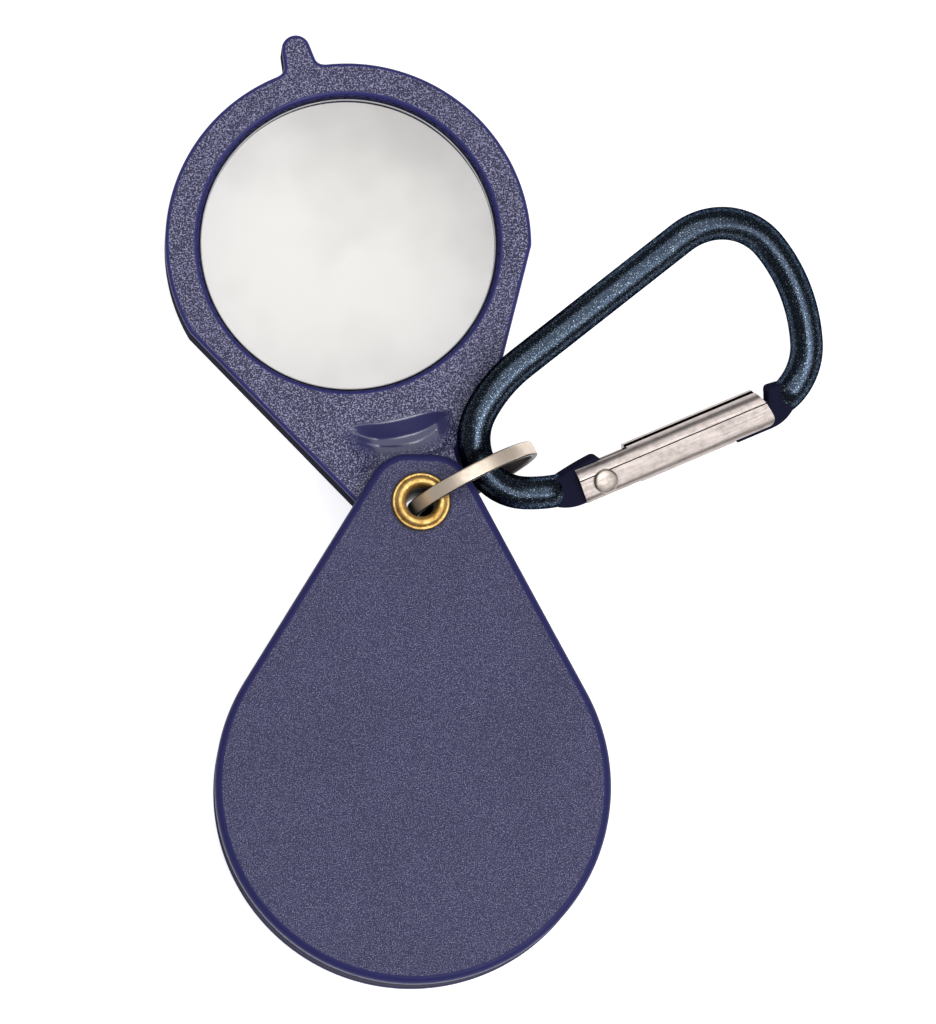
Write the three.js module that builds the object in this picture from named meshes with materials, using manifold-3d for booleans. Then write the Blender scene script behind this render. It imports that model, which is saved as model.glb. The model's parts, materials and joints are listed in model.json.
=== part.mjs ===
// Fold-out pocket hand lens on a split ring and mini carabiner.
// Millimetres, +Z up. The case lies flat: its round end is centred on the origin, the underside of
// its rear cover is z = 0, and its pointed end, with the brass eyelet, lies along +Y.
// The lens leaf is drawn swung out of the case, the carabiner is clipped to the ring.

import * as THREE from 'three';
import { mergeVertices } from 'three/addons/utils/BufferGeometryUtils.js';
import Module from 'manifold-3d';

const wasm = await Module();
wasm.setup();

// ---------- driving dimensions ----------

const CASE = {
  radius: 23.65,          // round end
  pivotY: 34.07,          // eyelet axis above the centre of the round end
  sideDistance: 6.71,     // straight sides, measured from the eyelet axis
  crown: 5.87,            // flat crown of the pointed end above the eyelet axis
  crownCornerRadius: 5,
  thickness: 9.9,
  cover: 1.9,
  edgeRadius: 0.9,
  wallThickness: 0.8,
  wallTopBelowPivot: 2.75,
  wallEndAngle: -35.3,    // the wall runs down the right side to this angle of the round end
  lidSeam: 0.1,
  seatField: 16,          // round flat field about the origin, where a cover rests or is rested on
};
const LEAF = {
  openAngle: 16.6,        // leaf axis, turned from +Y about the eyelet
  lensDistance: 33.1,     // eyelet axis to lens axis
  radius: 22.15,
  sideChord: 21.5,        // straight sides, measured from the lens axis
  sideAngle: 29.2,
  sideCornerAngle: 13.9,
  thickness: 5.5,
  edgeRadius: 0.5,
  boreRadius: 18.15,
  seatRadius: 17.5,
  seatBottom: 3.0,        // the lens rests on this step of the bore
  seatTop: 3.9,
  pivotHoleRadius: 2.5,
  tabTip: 59.5,
  tabTipRadius: 1.74,
  tabRootHalfWidth: 2.05,
};
const SCOOP = { path: 9.9, tool: 2.6, tilt: 6, lift: 2.0 };
const LENS = { radius: 17.9, edge: 1.4, surfaceRadius: 80, edgeBottom: 4.25 };
const RETAINER = { inner: 17.5, outer: 17.95, bottom: 5.95, top: 6.6 };
const EYELET = {
  bore: 1.75,
  barrel: 2.15,
  flange: 3.47,
  flangeEdge: 0.15,
  crest: 2.9,
  frontCrest: 0.75,
  rearCrest: 0.5,
  flare: 1.85,
};
const COVER_HOLE_RADIUS = 2.5;
const WASHER = { inner: 2.45, outer: 4.2, thickness: 0.4, gap: 0.05 };
const RING = { outer: 8.5, inner: 7.65, width: 1.85, edge: 0.2, centre: 7.3, gapAngle: 2.4, heading: 29.1 };
const CARABINER = {
  rod: 2.0,
  heading: 32.6,          // long axis, in plan
  roll: 24,               // the spine side is lifted out of the case's plane
  bendRadius: 7,          // tight bend that hangs in the ring
  crossing: 8.75,         // eyelet axis to rod axis
  crossingHeading: 34.1,
  crossingZ: 7.3,
  taper: 8,               // spine and gate spread by this angle from the long axis
  tongue: 2.4,            // flattened ends
};
const PIVOT_NECK = { u: 0.24, v: -7.87, heading: 160.45 };
const RIVET = {
  u: 5.27,
  v: -9.02,
  shaft: 0.85,
  hole: 1.15,
  head: 1.49,
  headHeight: 0.45,
  crown: 1.14,
  crownDrop: 0.2,
};
const GATE = {
  start: -3.0,
  end: 22.3,
  inner: 2.45,
  outer: -2.2,
  halfDepth: 2.3,
  corner: 1.2,
  wall: 0.5,
  seam: 0.6,
  cheekEdge: -1.85,       // the outer web stops here over the rivet and over the nose
  pivotCut: 4.4,
  noseCut: 16.8,
  noseSlot: 0.9,
};
const SPRING_WIRE = 0.3;
const FIT = 0.15;         // clearance between small metal parts
const ROD_RELIEF = 0.45;  // clearance of the leaf around the carabiner's rod

const rad = THREE.MathUtils.degToRad;
const midZ = CASE.thickness / 2;

// ---------- materials ----------

const finish = (color, roughness, metalness) =>
  new THREE.MeshStandardMaterial({ color, roughness, metalness });
const material = {
  plastic: finish(0x34336b, 0.55, 0),
  lens: finish(0xe9ecee, 0.05, 0),
  retainer: finish(0x26264f, 0.5, 0),
  brass: finish(0xc9a24a, 0.3, 1),
  nickel: finish(0xb9b0a6, 0.25, 1),
  anodised: finish(0x22304a, 0.35, 0.8),
  aluminium: finish(0xd8d2cd, 0.35, 1),
  steel: finish(0x8c8f94, 0.35, 1),
};

// ---------- helpers ----------

function toManifold(geometry, matrix) {
  const bare = geometry.clone();
  bare.deleteAttribute('normal');
  bare.deleteAttribute('uv');
  if (matrix) {
    bare.applyMatrix4(matrix);
  }
  const merged = mergeVertices(bare, 1e-4);
  const body = new wasm.Mesh({
    numProp: 3,
    vertProperties: new Float32Array(merged.attributes.position.array),
    triVerts: new Uint32Array(merged.index.array),
  });
  return new wasm.Manifold(body);
}

function toGeometry(solid) {
  const body = solid.getMesh();
  const geometry = new THREE.BufferGeometry();
  geometry.setAttribute('position', new THREE.BufferAttribute(body.vertProperties, 3));
  geometry.setIndex(new THREE.BufferAttribute(body.triVerts, 1));
  return geometry;
}

function piece(name, geometry, look) {
  const mesh = new THREE.Mesh(geometry, look);
  mesh.name = name;
  return mesh;
}

// A flat shape between two heights, with both its edges rounded.
function plate(shape, bottom, top, edge, curveSegments, bevelSegments = 3) {
  const geometry = new THREE.ExtrudeGeometry(shape, {
    depth: top - bottom - 2 * edge,
    bevelEnabled: edge > 0,
    bevelThickness: edge,
    bevelSize: edge,
    bevelOffset: -edge,
    bevelSegments,
    curveSegments,
  });
  return geometry.translate(0, 0, bottom + edge);
}

// A turned part about Z from [radius, height] points.
function turned(points, segments) {
  const profile = points.map(([r, z]) => new THREE.Vector2(r, z));
  return new THREE.LatheGeometry(profile, segments).rotateX(Math.PI / 2);
}

function tubeRing(inner, outer, bottom, top, segments) {
  return turned([[inner, bottom], [outer, bottom], [outer, top], [inner, top], [inner, bottom]], segments);
}

function cylinder(radius, bottom, top, segments) {
  return new THREE.CylinderGeometry(radius, radius, top - bottom, segments)
    .rotateX(Math.PI / 2)
    .translate(0, 0, (bottom + top) / 2);
}

function box(x0, x1, y0, y1, z0, z1) {
  return new THREE.BoxGeometry(x1 - x0, y1 - y0, z1 - z0)
    .translate((x0 + x1) / 2, (y0 + y1) / 2, (z0 + z1) / 2);
}

function shapeOf(points) {
  return new THREE.Shape(points.map(([x, y]) => new THREE.Vector2(x, y)));
}

// ---------- case ----------

// The teardrop, drawn inwards from the real edge by an inset.
function caseOutline(inset) {
  const side = Math.asin((CASE.radius - CASE.sideDistance) / CASE.pivotY);
  const corner = CASE.crownCornerRadius - inset;
  const cornerY = CASE.crown - CASE.crownCornerRadius;
  const cornerX = (CASE.sideDistance - CASE.crownCornerRadius - cornerY * Math.sin(side)) / Math.cos(side);
  const shape = new THREE.Shape();
  shape.absarc(0, 0, CASE.radius - inset, Math.PI - side, side, false);
  shape.absarc(cornerX, CASE.pivotY + cornerY, corner, side, Math.PI / 2, false);
  shape.absarc(-cornerX, CASE.pivotY + cornerY, corner, Math.PI / 2, Math.PI - side, false);
  shape.closePath();
  return shape;
}

const reach = 80;
const blank = toManifold(plate(caseOutline(0), 0, CASE.thickness, CASE.edgeRadius, 16, 3));
const pivotBore = toManifold(
  cylinder(COVER_HOLE_RADIUS, -1, CASE.thickness + 1, 24).translate(0, CASE.pivotY, 0),
);
const layer = (bottom, top) => toManifold(box(-reach, reach, -reach, reach, bottom, top));

function makeWallRegion() {
  const end = rad(CASE.wallEndAngle);
  const wallTop = CASE.pivotY - CASE.wallTopBelowPivot;
  const shape = shapeOf([
    [0, 0],
    [reach * Math.cos(end), reach * Math.sin(end)],
    [reach, wallTop],
    [0, wallTop],
  ]);
  return toManifold(plate(shape, -1, CASE.thickness + 1, 0, 1));
}

// Sets a disc into a cover, flush with both its faces, so that the field keeps faces of its own.
function setField(cover, bottom, top) {
  const field = toManifold(cylinder(CASE.seatField, bottom, top, 24));
  return cover.subtract(field).add(field);
}

function makeFrontCover() {
  const underside = CASE.thickness - CASE.cover;
  const lid = blank.intersect(layer(underside, CASE.thickness + 1)).subtract(pivotBore);
  return toGeometry(setField(lid, underside, CASE.thickness));
}

// The rear cover is a tray: its wall carries the front cover and stops the closed leaf.
function makeRearCover() {
  const floor = blank.intersect(layer(-1, CASE.cover));
  const core = toManifold(plate(caseOutline(CASE.wallThickness), -1, CASE.thickness + 1, 0, 16));
  const rise = layer(CASE.cover - 0.5, CASE.thickness - CASE.cover - CASE.lidSeam);
  const wall = blank.intersect(rise).subtract(core).intersect(makeWallRegion());
  return toGeometry(setField(floor.add(wall).subtract(pivotBore), 0, CASE.cover));
}

// ---------- eyelet ----------

function quarterCurve(from, to, count, bulgeFirst) {
  const points = [];
  for (let i = 0; i <= count; i += 1) {
    const angle = (i / count) * (Math.PI / 2);
    const along = bulgeFirst ? 1 - Math.cos(angle) : Math.sin(angle);
    const across = bulgeFirst ? Math.sin(angle) : 1 - Math.cos(angle);
    points.push([from[0] + (to[0] - from[0]) * along, from[1] + (to[1] - from[1]) * across]);
  }
  return points;
}

function makeEyelet() {
  const { bore, barrel, flange, flangeEdge, crest, flare } = EYELET;
  const seatTop = CASE.thickness + WASHER.gap;
  const seatBottom = -WASHER.thickness - 2 * WASHER.gap;
  const crestTop = CASE.thickness + EYELET.frontCrest;
  const crestBottom = seatBottom - EYELET.rearCrest;
  const rimTop = [flange, seatTop + flangeEdge];
  const rimBottom = [flange - flangeEdge, seatBottom - flangeEdge];
  const profile = [
    ...quarterCurve([bore, crestTop - flare], [crest, crestTop], 6, true),
    ...quarterCurve([crest, crestTop], rimTop, 4, false).slice(1),
    [flange, seatTop],
    [barrel, seatTop],
    [barrel, seatBottom],
    [flange - flangeEdge, seatBottom],
    ...quarterCurve(rimBottom, [crest, crestBottom], 4, true),
    ...quarterCurve([crest, crestBottom], [bore, crestBottom + flare], 6, false).slice(1),
  ];
  profile.push(profile[0]);
  return turned(profile.reverse(), 28);
}

function makeWasher() {
  const bottom = -WASHER.thickness - WASHER.gap;
  return tubeRing(WASHER.inner, WASHER.outer, bottom, -WASHER.gap, 32);
}

// ---------- lens leaf ----------

// The leaf in its own frame: eyelet axis at the origin, lens on +Y.
function leafOutline() {
  const { lensDistance, radius, tabTip, tabTipRadius, tabRootHalfWidth } = LEAF;
  const side = rad(LEAF.sideAngle);
  const corner = rad(LEAF.sideCornerAngle) - side;
  const bossRadius = LEAF.sideChord - lensDistance * Math.sin(side);
  const tabAngle = Math.acos(tabRootHalfWidth / radius);
  const shape = new THREE.Shape();
  shape.absarc(0, 0, bossRadius, Math.PI + side, -side, false);
  shape.absarc(0, lensDistance, radius, corner, tabAngle, false);
  shape.absarc(0, tabTip - tabTipRadius, tabTipRadius, 0, Math.PI, false);
  shape.absarc(0, lensDistance, radius, Math.PI - tabAngle, Math.PI - corner, false);
  shape.closePath();
  return shape;
}

const leafBottom = midZ - LEAF.thickness / 2;
const leafTop = midZ + LEAF.thickness / 2;

// A glossy scoop in the neck's front face, on a circle about the eyelet, deepest on the +X side.
function makeNeckScoop() {
  return new THREE.TorusGeometry(SCOOP.path, SCOOP.tool, 16, 48)
    .rotateY(rad(SCOOP.tilt))
    .translate(0, 0, leafTop + SCOOP.lift);
}

function makeLeafFrame(rodInLeaf) {
  const shape = leafOutline();
  const bore = new THREE.Path();
  bore.absarc(0, LEAF.lensDistance, LEAF.boreRadius, 0, 2 * Math.PI, true);
  shape.holes.push(bore);
  const pivotHole = new THREE.Path();
  pivotHole.absarc(0, 0, LEAF.pivotHoleRadius, 0, 2 * Math.PI, true);
  shape.holes.push(pivotHole);
  const frame = toManifold(plate(shape, leafBottom, leafTop, LEAF.edgeRadius, 18, 2));
  const seat = tubeRing(LEAF.seatRadius, LEAF.boreRadius + 0.3, LEAF.seatBottom, LEAF.seatTop, 48);
  seat.translate(0, LEAF.lensDistance, 0);
  return toGeometry(
    frame.add(toManifold(seat)).subtract(toManifold(makeNeckScoop())).subtract(rodInLeaf),
  );
}

function makeLens() {
  const { radius, edge, surfaceRadius, edgeBottom } = LENS;
  const sag = (r) => surfaceRadius - Math.sqrt(surfaceRadius ** 2 - r ** 2);
  const rise = sag(radius);
  const steps = 6;
  const lower = [];
  const upper = [];
  for (let i = 0; i <= steps; i += 1) {
    const r = (radius * i) / steps;
    lower.push([r, edgeBottom - rise + sag(r)]);
    upper.unshift([r, edgeBottom + edge + rise - sag(r)]);
  }
  return turned([...lower, ...upper], 44).translate(0, LEAF.lensDistance, 0);
}

function makeRetainer() {
  return tubeRing(RETAINER.inner, RETAINER.outer, RETAINER.bottom, RETAINER.top, 48)
    .translate(0, LEAF.lensDistance, 0);
}

// ---------- split ring ----------

// Drawn about its own axis; the butt gap is at its lowest point.
function makeSplitRing() {
  const half = rad(RING.gapAngle / 2);
  const start = -Math.PI / 2 + half;
  const end = 1.5 * Math.PI - half;
  const shape = new THREE.Shape();
  shape.absarc(0, 0, RING.outer, start, end, false);
  shape.absarc(0, 0, RING.inner, end, start, true);
  shape.closePath();
  return plate(shape, -RING.width / 2, RING.width / 2, RING.edge, 20, 2);
}

// ---------- carabiner ----------

class PlanarArc extends THREE.Curve {
  constructor(centre, radius, from, to) {
    super();
    Object.assign(this, { centre, radius, from, to });
  }

  getPoint(t) {
    const angle = this.from + (this.to - this.from) * t;
    const { x, y } = this.centre;
    return new THREE.Vector3(x + this.radius * Math.cos(angle), y + this.radius * Math.sin(angle), 0);
  }
}

// A wire path from straight runs and right-hand bends.
function wirePath(start, heading, moves) {
  const path = new THREE.CurvePath();
  let at = new THREE.Vector3(start.u, start.v, 0);
  let angle = rad(heading);
  for (const move of moves) {
    if (move.run) {
      const next = at.clone().add(new THREE.Vector3(Math.cos(angle), Math.sin(angle), 0).multiplyScalar(move.run));
      path.add(new THREE.LineCurve3(at, next));
      at = next;
    } else {
      const side = angle - Math.PI / 2;
      const centre = { x: at.x + move.bend * Math.cos(side), y: at.y + move.bend * Math.sin(side) };
      const arc = new PlanarArc(centre, move.bend, side + Math.PI, side + Math.PI - rad(move.turn));
      path.add(arc);
      at = arc.getPoint(1);
      angle -= rad(move.turn);
    }
  }
  return path;
}

const rodPath = wirePath(PIVOT_NECK, PIVOT_NECK.heading, [
  { bend: 19.3, turn: 13.45 },
  { bend: CARABINER.bendRadius, turn: 114 },
  { bend: 17.3, turn: 25 },
  { run: 24.6 },
  { bend: 8.2, turn: 86 },
  { bend: 21.7, turn: 35.5 },
  { bend: 7.75, turn: 58.1 },
]);

function makeRod(radius, sides) {
  const section = new THREE.Shape().absarc(0, 0, radius, 0, 2 * Math.PI, false);
  return new THREE.ExtrudeGeometry(section, { steps: 60, curveSegments: sides / 2, extrudePath: rodPath });
}

// The gate's frame: rivet at the origin, x along the gate, y into the carabiner, z through it.
const gateFrame = new THREE.Matrix4()
  .makeRotationZ(rad(-CARABINER.taper))
  .setPosition(RIVET.u, RIVET.v, 0);

function makePivotTongue() {
  const shape = new THREE.Shape();
  shape.moveTo(-6.3, -1.2);
  shape.quadraticCurveTo(-5, -2, -3.4, -2.05);
  shape.lineTo(2.4, -2.05);
  shape.quadraticCurveTo(3.3, -2, 3.3, -1);
  shape.lineTo(3.2, 0.8);
  shape.quadraticCurveTo(2.6, 1.7, 1.4, 1.75);
  shape.lineTo(0.9, 2.7);
  shape.quadraticCurveTo(0.6, 3.25, 0, 3.2);
  shape.lineTo(-4.9, 3.1);
  shape.quadraticCurveTo(-5.9, 3, -6.5, 2.4);
  shape.closePath();
  return plate(shape, -CARABINER.tongue / 2, CARABINER.tongue / 2, 0.35, 5, 2);
}

function makeNoseTongue() {
  const shape = new THREE.Shape();
  shape.moveTo(17.3, -2.5);
  shape.lineTo(22, -2.5);
  shape.quadraticCurveTo(24.4, -2.4, 26, -1.4);
  shape.lineTo(26, 2.2);
  shape.lineTo(23.4, 2.3);
  shape.quadraticCurveTo(22.8, 2.2, 22.75, 1.6);
  shape.lineTo(22.5, 0.8);
  shape.lineTo(18.4, 0.7);
  shape.quadraticCurveTo(17.3, 0.4, 17.2, -0.8);
  shape.closePath();
  return plate(shape, -CARABINER.tongue / 2, CARABINER.tongue / 2, 0.35, 5, 2);
}

function makeCarabinerBody() {
  const rod = toManifold(makeRod(CARABINER.rod, 16));
  const pivotTongue = toManifold(makePivotTongue(), gateFrame);
  const noseTongue = toManifold(makeNoseTongue(), gateFrame);
  const rivetHole = toManifold(cylinder(RIVET.hole, -CARABINER.rod, CARABINER.rod, 24), gateFrame);
  return toGeometry(rod.add(pivotTongue).add(noseTongue).subtract(rivetHole));
}

function makeRivet() {
  const { shaft, head, crown } = RIVET;
  const inside = GATE.halfDepth + FIT;
  const outside = inside + RIVET.headHeight;
  const shoulder = outside - RIVET.crownDrop;
  return turned([
    [0, -outside], [crown, -outside], [head, -shoulder], [head, -inside],
    [shaft, -inside], [shaft, inside],
    [head, inside], [head, shoulder], [crown, outside], [0, outside],
  ], 24);
}

// Folded sheet channel: a tube with a seam on its inner side, cut open towards the body's ends.
function gateSection() {
  const { inner, outer, halfDepth, corner, wall, seam } = GATE;
  const shape = new THREE.Shape();
  const mid = halfDepth - corner;
  const innerCorner = corner - wall;
  shape.moveTo(inner, seam / 2);
  shape.absarc(inner - corner, mid, corner, 0, Math.PI / 2, false);
  shape.absarc(outer + corner, mid, corner, Math.PI / 2, Math.PI, false);
  shape.absarc(outer + corner, -mid, corner, Math.PI, 1.5 * Math.PI, false);
  shape.absarc(inner - corner, -mid, corner, 1.5 * Math.PI, 2 * Math.PI, false);
  shape.lineTo(inner, -seam / 2);
  shape.lineTo(inner - wall, -seam / 2);
  shape.absarc(inner - corner, -mid, innerCorner, 2 * Math.PI, 1.5 * Math.PI, true);
  shape.absarc(outer + corner, -mid, innerCorner, 1.5 * Math.PI, Math.PI, true);
  shape.absarc(outer + corner, mid, innerCorner, Math.PI, Math.PI / 2, true);
  shape.absarc(inner - corner, mid, innerCorner, Math.PI / 2, 0, true);
  shape.lineTo(inner - wall, seam / 2);
  shape.closePath();
  return shape;
}

function gateProfile() {
  const { start, end, inner, outer } = GATE;
  const shape = new THREE.Shape();
  shape.moveTo(start + 0.3, outer - 1);
  shape.lineTo(end - 1.4, outer - 1);
  shape.lineTo(end - 0.9, outer + 0.3);
  shape.quadraticCurveTo(end + 0.05, outer + 0.5, end, outer + 1.5);
  shape.quadraticCurveTo(end - 0.3, inner - 0.6, end - 1.6, inner + 1);
  shape.lineTo(start + 0.1, inner + 1);
  shape.lineTo(start, inner - 0.3);
  shape.lineTo(start, outer + 0.3);
  shape.closePath();
  return shape;
}

function makeGate() {
  const { start, end, cheekEdge, pivotCut, noseCut, halfDepth, wall, inner } = GATE;
  const alongX = new THREE.Matrix4().makeBasis(
    new THREE.Vector3(0, 1, 0),
    new THREE.Vector3(0, 0, 1),
    new THREE.Vector3(1, 0, 0),
  );
  const tube = new THREE.ExtrudeGeometry(gateSection(), {
    depth: end - start + 1, bevelEnabled: false, curveSegments: 4,
  });
  tube.applyMatrix4(alongX).translate(start - 0.5, 0, 0);
  const deep = halfDepth - wall;
  const past = 2 * inner;
  const cuts = [
    box(start - past, pivotCut, -past, cheekEdge, -past, past),
    box(noseCut, end + past, -past, cheekEdge, -past, past),
    box(start - past, pivotCut - 0.3, inner - wall - 0.35, past, -past, past),
    box(start - past, pivotCut, -past, inner, -deep, deep),
    box(noseCut, end + past, -past, GATE.noseSlot, -deep, deep),
    cylinder(RIVET.hole, -past, past, 24),
  ];
  let gate = toManifold(tube).intersect(toManifold(plate(gateProfile(), -past, past, 0, 5)));
  for (const cut of cuts) {
    gate = gate.subtract(toManifold(cut));
  }
  return toGeometry(gate);
}

// Bent spring wire that lies inside the gate and bears on the body's tongue.
function makeGateSpring() {
  const route = new THREE.CatmullRomCurve3([
    new THREE.Vector3(4.3, 0.9, 0),
    new THREE.Vector3(6.5, 1.1, 0),
    new THREE.Vector3(9, 0.2, 0),
    new THREE.Vector3(12, -0.9, 0),
    new THREE.Vector3(14.5, -1.2, 0),
  ]);
  const section = new THREE.Shape().absarc(0, 0, SPRING_WIRE, 0, 2 * Math.PI, false);
  return new THREE.ExtrudeGeometry(section, { steps: 24, curveSegments: 4, extrudePath: route });
}

// ---------- assembly ----------

const handLens = new THREE.Group();

const eyeletAxis = new THREE.Group();
eyeletAxis.position.set(0, CASE.pivotY, 0);

const leaf = new THREE.Group();
leaf.rotation.z = rad(LEAF.openAngle);

const ring = new THREE.Group();
const ringHeading = new THREE.Vector3(Math.cos(rad(RING.heading)), Math.sin(rad(RING.heading)), 0);
ring.matrixAutoUpdate = false;
ring.matrix
  .makeBasis(ringHeading, new THREE.Vector3(0, 0, 1), new THREE.Vector3(ringHeading.y, -ringHeading.x, 0))
  .setPosition(ringHeading.clone().multiplyScalar(RING.centre).setZ(midZ));

// The carabiner's frame: origin at the centre of its tight bend, x along it, y towards the spine.
const crossingAngle = rad(CARABINER.crossingHeading + 180 - CARABINER.heading);
const crossingInPlane = new THREE.Vector3(Math.cos(crossingAngle), Math.sin(crossingAngle), 0)
  .multiplyScalar(CARABINER.bendRadius);
const carabinerTurn = new THREE.Euler(rad(CARABINER.roll), 0, rad(CARABINER.heading), 'ZYX');
const carabiner = new THREE.Group();
carabiner.rotation.copy(carabinerTurn);
carabiner.position
  .set(Math.cos(rad(CARABINER.crossingHeading)), Math.sin(rad(CARABINER.crossingHeading)), 0)
  .multiplyScalar(CARABINER.crossing)
  .setZ(CARABINER.crossingZ)
  .sub(crossingInPlane.applyEuler(carabinerTurn));

const gate = new THREE.Group();
gate.position.set(RIVET.u, RIVET.v, 0);
gate.rotation.z = rad(-CARABINER.taper);

handLens.add(eyeletAxis);
eyeletAxis.add(leaf, ring, carabiner);
carabiner.add(gate);
handLens.updateMatrixWorld(true);

const carabinerToLeaf = leaf.matrixWorld.clone().invert().multiply(carabiner.matrixWorld);
const rodInLeaf = toManifold(makeRod(CARABINER.rod + ROD_RELIEF, 16), carabinerToLeaf);

handLens.add(
  piece('front_cover', makeFrontCover(), material.plastic),
  piece('rear_cover', makeRearCover(), material.plastic),
);
eyeletAxis.add(
  piece('eyelet', makeEyelet(), material.brass),
  piece('eyelet_washer', makeWasher(), material.brass),
);
leaf.add(
  piece('lens_frame', makeLeafFrame(rodInLeaf), material.plastic),
  piece('lens', makeLens(), material.lens),
  piece('lens_retaining_ring', makeRetainer(), material.retainer),
);
ring.add(piece('split_ring', makeSplitRing(), material.nickel));
carabiner.add(piece('carabiner_body', makeCarabinerBody(), material.anodised));
gate.add(
  piece('carabiner_gate', makeGate(), material.aluminium),
  piece('gate_rivet', makeRivet(), material.aluminium),
  piece('gate_spring', makeGateSpring(), material.steel),
);

export default handLens;
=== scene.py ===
"""Looks of a fold-out pocket hand lens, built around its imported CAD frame. Blender 4.5.

Pieces are drawn in millimetres in the frame of the part they belong to, as the CAD model is, and
are placed in the row frame, in metres, by one matrix each.
"""

import json
import math

import bmesh
import bpy
from mathutils import Matrix, Vector


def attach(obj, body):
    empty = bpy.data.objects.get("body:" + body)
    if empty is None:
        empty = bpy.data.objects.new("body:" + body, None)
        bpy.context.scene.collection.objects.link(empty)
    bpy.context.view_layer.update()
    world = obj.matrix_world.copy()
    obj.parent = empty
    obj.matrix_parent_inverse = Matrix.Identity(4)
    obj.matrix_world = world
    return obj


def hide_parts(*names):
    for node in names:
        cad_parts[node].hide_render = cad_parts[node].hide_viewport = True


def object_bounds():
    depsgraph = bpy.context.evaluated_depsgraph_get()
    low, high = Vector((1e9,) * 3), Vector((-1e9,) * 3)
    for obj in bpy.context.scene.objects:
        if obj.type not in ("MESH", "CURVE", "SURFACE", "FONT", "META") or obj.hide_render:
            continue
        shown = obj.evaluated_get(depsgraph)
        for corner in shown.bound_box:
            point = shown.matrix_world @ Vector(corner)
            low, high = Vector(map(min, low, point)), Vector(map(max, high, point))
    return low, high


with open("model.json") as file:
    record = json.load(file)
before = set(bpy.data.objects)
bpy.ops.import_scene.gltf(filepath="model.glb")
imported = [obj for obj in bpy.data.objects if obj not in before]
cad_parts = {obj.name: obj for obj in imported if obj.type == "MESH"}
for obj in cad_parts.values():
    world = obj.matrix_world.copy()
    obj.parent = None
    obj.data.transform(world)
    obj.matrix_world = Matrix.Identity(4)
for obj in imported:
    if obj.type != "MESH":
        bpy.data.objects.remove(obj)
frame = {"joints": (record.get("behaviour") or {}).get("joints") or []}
cad_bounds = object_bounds()
joints = {joint["name"]: joint for joint in frame["joints"]}

MM = 0.001
rad = math.radians

# ---------- driving dimensions, millimetres and degrees, as in the CAD model ----------

CASE_RADIUS = 23.65
CASE_SIDE = 6.71
CASE_CROWN = 5.87
CASE_CROWN_CORNER = 5.0
CASE_THICKNESS = 9.9
COVER = 1.9
COVER_EDGE = 0.9
COVER_INNER_EDGE = 0.12
WALL = 0.8
WALL_SUNK = 0.3
WALL_TOP_BELOW_PIVOT = 2.75
WALL_END = -35.3
LID_SEAM = 0.1
PIVOT_HOLE = 2.5

LEAF_OPEN = 16.6
LENS_DISTANCE = 33.1
LENS_CENTRE = (0, LENS_DISTANCE)
LENS_STEPS = 160
LEAF_RADIUS = 22.15
LEAF_SIDE_CHORD = 21.5
LEAF_SIDE = 29.2
LEAF_SIDE_CORNER = -15.3
LEAF_BOTTOM = 2.2
LEAF_TOP = 7.7
LEAF_EDGE = 0.45
BORE = 18.15
BORE_RIM = 0.5
COLLAR = 0.2
SEAT = 17.75
SEAT_BOTTOM = 3.0
SEAT_TOP = 3.9
TAB_TIP = 59.5
TAB_RADIUS = 1.74
TAB_ROOT = 2.05
TAB_NECK = 1.95
TAB_FILLET = 2.6

LENS_RADIUS = 17.9
LENS_EDGE = 1.4
LENS_SURFACE = 80.0
LENS_EDGE_BOTTOM = 4.25
RETAINER_INNER = 17.72
RETAINER_OUTER = 17.95
RETAINER_BOTTOM = 5.95
RETAINER_TOP = 6.6

RING_OUTER = 8.5
RING_INNER = 7.65
RING_WIDTH = 1.85
RING_CENTRE = 7.3
RING_GAP = 2.4
RING_HEADING = 29.1

ROD = 2.0
CARABINER_HEADING = 32.6
CARABINER_LIFT = 22.0
GATE_TAPER = 8.0
RIVET_AT = (5.27, -9.02)
TONGUE = 2.4
PIVOT_NECK = ((0.24, -7.87), 160.45)
ROD_MOVES = (
    ("bend", 19.3, 13.45),
    ("bend", 7.0, 114.0),
    ("bend", 17.3, 25.0),
    ("run", 24.6, 0.0),
    ("bend", 8.2, 86.0),
    ("bend", 21.7, 35.5),
    ("bend", 7.75, 58.1),
)

# ---------- frames of the parts ----------

pivot_y = joints["leaf_hinge"]["pos_m"][1] / MM
mid_z = CASE_THICKNESS / 2
to_metres = Matrix.Scale(MM, 4)
row_frame = to_metres
eyelet_frame = to_metres @ Matrix.Translation((0, pivot_y, 0))
leaf_frame = eyelet_frame @ Matrix.Rotation(rad(LEAF_OPEN), 4, "Z")


def basis(x, y, z, origin):
    """Frame with those axes and origin, in the row frame."""
    turn = Matrix((x, y, z)).transposed().to_4x4()
    return Matrix.Translation(origin) @ turn @ to_metres


ring_x = Vector((math.cos(rad(RING_HEADING)), math.sin(rad(RING_HEADING)), 0))
ring_origin = Vector((0, pivot_y, mid_z)) + RING_CENTRE * ring_x
ring_frame = basis(ring_x, Vector((0, 0, 1)), ring_x.cross(Vector((0, 0, 1))), ring_origin * MM)

gate_z = Vector(joints["gate_hinge"]["axis"]).normalized()
gate_origin = Vector(joints["gate_hinge"]["pos_m"])
carabiner_x = Vector((math.cos(rad(CARABINER_HEADING)), math.sin(rad(CARABINER_HEADING)), 0))
carabiner_y = gate_z.cross(carabiner_x)
carabiner_origin = gate_origin - MM * (RIVET_AT[0] * carabiner_x + RIVET_AT[1] * carabiner_y)
carabiner_frame = basis(carabiner_x, carabiner_y, gate_z, carabiner_origin)
gate_frame = (
    carabiner_frame
    @ Matrix.Translation((*RIVET_AT, 0))
    @ Matrix.Rotation(rad(-GATE_TAPER), 4, "Z")
)

# ---------- mesh helpers ----------


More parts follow.
